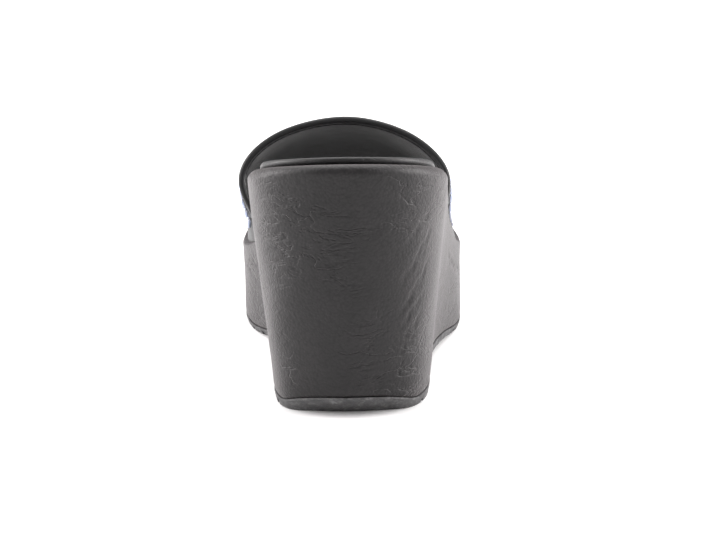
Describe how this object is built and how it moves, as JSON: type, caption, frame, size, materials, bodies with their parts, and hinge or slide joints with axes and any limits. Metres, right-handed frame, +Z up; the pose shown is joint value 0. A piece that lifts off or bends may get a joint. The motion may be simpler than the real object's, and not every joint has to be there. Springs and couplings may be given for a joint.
{
  "type": "platform sandal",
  "caption": "Black platform wedge slide sandal for the right foot, with one arched strap that carries raised pale stripes, a padded insole and a grooved rubber outsole.",
  "frame": {"origin": "centre of the flat spot under the heel, on the floor", "axes": "+Y towards the toe, +X towards the outer (lateral) side of the right foot, +Z up; the picture looks along +Y from behind"},
  "size_m": [0.0935, 0.233, 0.0982],
  "materials": {
    "rubber": "matte, finely pebbled",
    "wedge_leather": "smooth leather with a fine creased grain, satin",
    "insole_leather": "smooth leather over a pad, satin",
    "strap_leather": "black leather outside, brushed black lining inside",
    "stripe_enamel": "pearly pale blue-white, glossy"
  },
  "bodies": {
    "root": {"outsole": "rubber", "wedge": "wedge_leather", "insole": "insole_leather", "upper": "strap_leather", "stripe_medial_01": "stripe_enamel", "stripe_medial_02": "stripe_enamel", "stripe_medial_03": "stripe_enamel", "stripe_medial_04": "stripe_enamel", "stripe_medial_05": "stripe_enamel", "stripe_medial_06": "stripe_enamel", "stripe_medial_07": "stripe_enamel", "stripe_medial_08": "stripe_enamel", "stripe_medial_09": "stripe_enamel", "stripe_medial_10": "stripe_enamel", "stripe_medial_11": "stripe_enamel", "stripe_medial_12": "stripe_enamel", "stripe_medial_13": "stripe_enamel", "stripe_medial_14": "stripe_enamel", "stripe_medial_15": "stripe_enamel", "stripe_medial_16": "stripe_enamel", "stripe_medial_17": "stripe_enamel", "stripe_medial_18": "stripe_enamel", "stripe_medial_19": "stripe_enamel", "stripe_medial_20": "stripe_enamel", "stripe_medial_21": "stripe_enamel", "stripe_medial_22": "stripe_enamel", "stripe_medial_23": "stripe_enamel", "stripe_medial_24": "stripe_enamel", "stripe_medial_25": "stripe_enamel", "stripe_medial_26": "stripe_enamel", "stripe_lateral_01": "stripe_enamel", "stripe_lateral_02": "stripe_enamel", "stripe_lateral_03": "stripe_enamel", "stripe_lateral_04": "stripe_enamel", "stripe_lateral_05": "stripe_enamel", "stripe_lateral_06": "stripe_enamel", "stripe_lateral_07": "stripe_enamel", "stripe_lateral_08": "stripe_enamel", "stripe_lateral_09": "stripe_enamel", "stripe_lateral_10": "stripe_enamel", "stripe_lateral_11": "stripe_enamel", "stripe_lateral_12": "stripe_enamel", "stripe_lateral_13": "stripe_enamel", "stripe_lateral_14": "stripe_enamel", "stripe_lateral_15": "stripe_enamel", "stripe_lateral_16": "stripe_enamel", "stripe_lateral_17": "stripe_enamel", "stripe_lateral_18": "stripe_enamel", "stripe_lateral_19": "stripe_enamel", "stripe_lateral_20": "stripe_enamel", "stripe_lateral_21": "stripe_enamel", "stripe_lateral_22": "stripe_enamel", "stripe_lateral_23": "stripe_enamel", "stripe_lateral_24": "stripe_enamel", "stripe_lateral_25": "stripe_enamel", "stripe_lateral_26": "stripe_enamel"}
  },
  "joints": []
}
